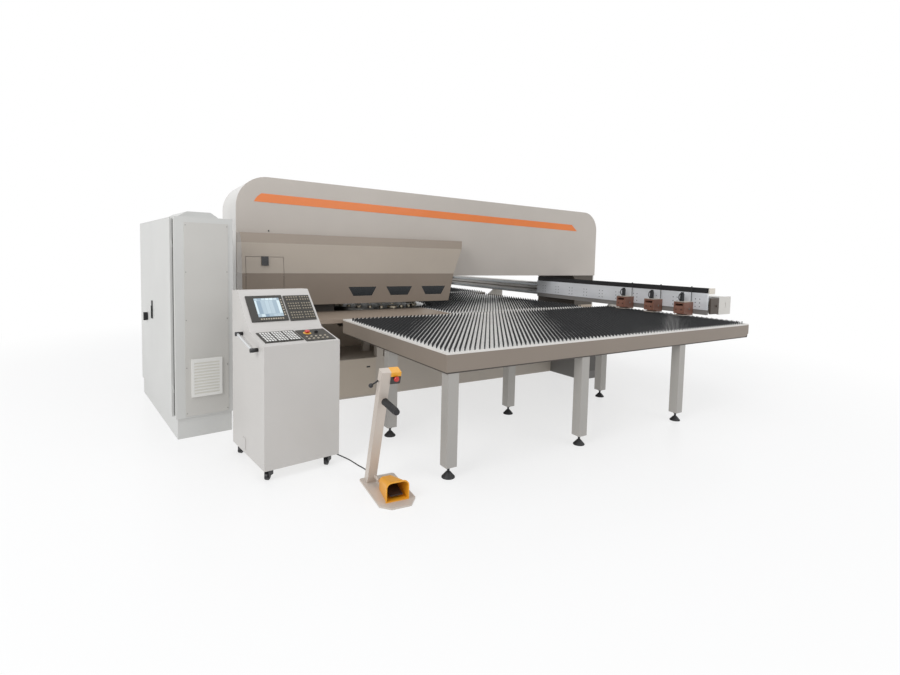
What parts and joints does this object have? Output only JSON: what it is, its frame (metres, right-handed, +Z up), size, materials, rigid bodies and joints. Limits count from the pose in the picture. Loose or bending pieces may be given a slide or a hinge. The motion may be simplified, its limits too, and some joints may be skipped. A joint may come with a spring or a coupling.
{
  "type": "turret punch press",
  "caption": "Large sheet metal punch press: closed frame, hooded tool turret, brush tables, moving beam with clamps, cabinet, console and foot switch.",
  "frame": {"origin": "On the floor, on the axis of the punch ram, at the underside of the frame.", "axes": "+X along the frame to its far column, +Y from the front table to the rear table, +Z up."},
  "size_m": [6.6843, 7.3067, 2.465],
  "materials": {
    "frame_paint": "satin",
    "base_paint": "satin",
    "foot_paint": "satin",
    "panel_paint": "satin",
    "end_paint": "satin",
    "orange": "satin",
    "cover_paint": "satin",
    "hood_paint": "satin",
    "window": "tinted clear sheet",
    "black_plastic": "matte",
    "taupe_paint": "satin",
    "steel": "machined",
    "tool_steel": "ground",
    "drive_paint": "satin",
    "skirt_paint": "satin",
    "dark_frame": "satin",
    "leg_paint": "satin",
    "foot_black": "painted black",
    "board": "matte",
    "brush": "bristles",
    "beam_paint": "satin",
    "carriage_metal": "machined",
    "clamp_paint": "satin",
    "cabinet_paint": "satin",
    "cabinet_front": "satin",
    "filter_plastic": "matte",
    "console_paint": "satin",
    "screen": "glossy",
    "key_plastic": "matte",
    "red_plastic": "glossy",
    "bar_metal": "anodised",
    "stand_paint": "satin",
    "yellow_plastic": "glossy",
    "yellow_metal": "satin",
    "cable_rubber": "matte"
  },
  "bodies": {
    "machine": {"main_frame": "frame_paint", "base_frame": "base_paint", "end_foot": "foot_paint", "frame_panels": "panel_paint", "end_covers": "end_paint", "orange_stripe": "orange", "base_cover": "cover_paint", "hoods": "hood_paint", "hood_windows": "window", "apron_plates": "taupe_paint", "turret_drives": "drive_paint", "ram_drive": "drive_paint", "table_skirts": "skirt_paint", "table_frames": "dark_frame", "table_legs": "leg_paint", "levelling_feet": "foot_black", "table_boards": "board", "brush_strips": "brush", "rail_beams": "dark_frame", "beam_rails": "steel", "cabinet_body": "cabinet_paint", "cabinet_front_panel": "cabinet_front", "filter_grille": "filter_plastic", "console_body": "console_paint", "screen_panel": "screen", "key_panels": "key_plastic", "console_handle": "bar_metal", "pedal_stand": "stand_paint", "estop_box": "yellow_plastic", "switch_hood": "yellow_metal", "foot_cable": "cable_rubber"},
    "upper_turret": {"upper_turret": "steel", "punch_tools": "tool_steel"},
    "lower_turret": {"lower_turret": "steel", "turret_dies": "tool_steel"},
    "ram": {"ram": "steel"},
    "beam": {"cross_beam": "beam_paint", "carriage_rails": "steel", "carriage_drive": "drive_paint"},
    "carriage": {"clamp_carriage": "carriage_metal", "cable_tray": "black_plastic"},
    "hood_door": {"hood_door": "hood_paint"},
    "hood_latch": {"hood_latch": "black_plastic"},
    "cabinet_door": {"cabinet_door": "cabinet_paint"},
    "door_handle": {"door_handle": "black_plastic"},
    "main_switch": {"main_switch": "black_plastic"},
    "console_estop": {"console_estop": "red_plastic"},
    "console_knob": {"console_knob": "black_plastic"},
    "pedal_estop": {"pedal_estop": "red_plastic"},
    "foot_pedal": {"foot_pedal": "black_plastic"},
    "clamp_1": {"clamp_body_1": "clamp_paint"},
    "jaw_1": {"clamp_jaw_1": "clamp_paint"},
    "clamp_2": {"clamp_body_2": "clamp_paint"},
    "jaw_2": {"clamp_jaw_2": "clamp_paint"},
    "clamp_3": {"clamp_body_3": "clamp_paint"},
    "jaw_3": {"clamp_jaw_3": "clamp_paint"},
    "caster_1": {"caster_1": "black_plastic"},
    "caster_2": {"caster_2": "black_plastic"},
    "caster_3": {"caster_3": "black_plastic"},
    "caster_4": {"caster_4": "black_plastic"}
  },
  "joints": [
    {"name": "upper_turret_turn", "type": "hinge", "parent": "machine", "child": "upper_turret", "pos_m": [-0.56, 0, 1.065], "axis": [0, 0, 1], "continuous": true},
    {"name": "lower_turret_turn", "type": "hinge", "parent": "machine", "child": "lower_turret", "pos_m": [-0.56, 0, 0.892], "axis": [0, 0, 1], "continuous": true},
    {"name": "ram_stroke", "type": "slide", "parent": "machine", "child": "ram", "axis": [0, 0, -1], "range_m": [0, 0.04]},
    {"name": "beam_travel", "type": "slide", "parent": "machine", "child": "beam", "axis": [-1, 0, 0], "range_m": [0, 2]},
    {"name": "carriage_travel", "type": "slide", "parent": "beam", "child": "carriage", "axis": [0, 1, 0], "range_m": [0, 3.07]},
    {"name": "clamp_1_shift", "type": "slide", "parent": "carriage", "child": "clamp_1", "axis": [0, 1, 0], "range_m": [-0.13, 0.13]},
    {"name": "jaw_1_open", "type": "hinge", "parent": "clamp_1", "child": "jaw_1", "pos_m": [2.31, -2.826, 1.04], "axis": [0, 1, 0], "range_deg": [0, 12]},
    {"name": "clamp_2_shift", "type": "slide", "parent": "carriage", "child": "clamp_2", "axis": [0, 1, 0], "range_m": [-0.13, 0.13]},
    {"name": "jaw_2_open", "type": "hinge", "parent": "clamp_2", "child": "jaw_2", "pos_m": [2.31, -2.4, 1.04], "axis": [0, 1, 0], "range_deg": [0, 12]},
    {"name": "clamp_3_shift", "type": "slide", "parent": "carriage", "child": "clamp_3", "axis": [0, 1, 0], "range_m": [-0.13, 0.13]},
    {"name": "jaw_3_open", "type": "hinge", "parent": "clamp_3", "child": "jaw_3", "pos_m": [2.31, -1.958, 1.04], "axis": [0, 1, 0], "range_deg": [0, 12]},
    {"name": "hood_door_open", "type": "hinge", "parent": "machine", "child": "hood_door", "pos_m": [-2.201, -0.8, 1.048], "axis": [1, 0, 0], "range_deg": [0, 110]},
    {"name": "hood_latch_lift", "type": "hinge", "parent": "hood_door", "child": "hood_latch", "pos_m": [-2.201, -0.77726, 1.56153], "axis": [-1, 0, 0], "range_deg": [0, 60]},
    {"name": "cabinet_door_open", "type": "hinge", "parent": "machine", "child": "cabinet_door", "pos_m": [-3.15149, -1.68522, 1.03], "axis": [0, 0, 1], "range_deg": [0, 100]},
    {"name": "door_handle_turn", "type": "hinge", "parent": "cabinet_door", "child": "door_handle", "pos_m": [-3.26643, -0.79147, 1.094], "axis": [0.9938, 0.1115, 0], "range_deg": [0, 90]},
    {"name": "main_switch_turn", "type": "hinge", "parent": "machine", "child": "main_switch", "pos_m": [-3.2964, -0.32691, 0.91], "axis": [0.9938, 0.1115, 0], "range_deg": [0, 90]},
    {"name": "caster_1_swivel", "type": "hinge", "parent": "machine", "child": "caster_1", "pos_m": [-2.62741, -2.87441, 0.07], "axis": [0, 0, 1], "continuous": true},
    {"name": "caster_2_swivel", "type": "hinge", "parent": "machine", "child": "caster_2", "pos_m": [-2.18048, -2.82191, 0.07], "axis": [0, 0, 1], "continuous": true},
    {"name": "caster_3_swivel", "type": "hinge", "parent": "machine", "child": "caster_3", "pos_m": [-2.69858, -2.26857, 0.07], "axis": [0, 0, 1], "continuous": true},
    {"name": "caster_4_swivel", "type": "hinge", "parent": "machine", "child": "caster_4", "pos_m": [-2.25165, -2.21607, 0.07], "axis": [0, 0, 1], "continuous": true},
    {"name": "console_estop_press", "type": "slide", "parent": "machine", "child": "console_estop", "axis": [-0.0232, 0.1977, -0.98], "range_m": [0, 0.005]},
    {"name": "console_knob_turn", "type": "hinge", "parent": "machine", "child": "console_knob", "pos_m": [-2.24438, -2.70651, 1.0051], "axis": [0.0232, -0.1977, 0.98], "range_deg": [-45, 45]},
    {"name": "pedal_estop_press", "type": "slide", "parent": "machine", "child": "pedal_estop", "axis": [0.0893, 0.9452, 0.314], "range_m": [0, 0.005]},
    {"name": "foot_pedal_press", "type": "hinge", "parent": "machine", "child": "foot_pedal", "pos_m": [-1.98466, -3.49484, 0.052], "axis": [0.9956, -0.0941, 0], "range_deg": [0, 7], "stiffness_Nm_per_rad": 12, "springref_deg": -5.73}
  ],
  "couplings": [
    {"joint": "lower_turret_turn", "follows": "upper_turret_turn", "ratio": 1}
  ]
}
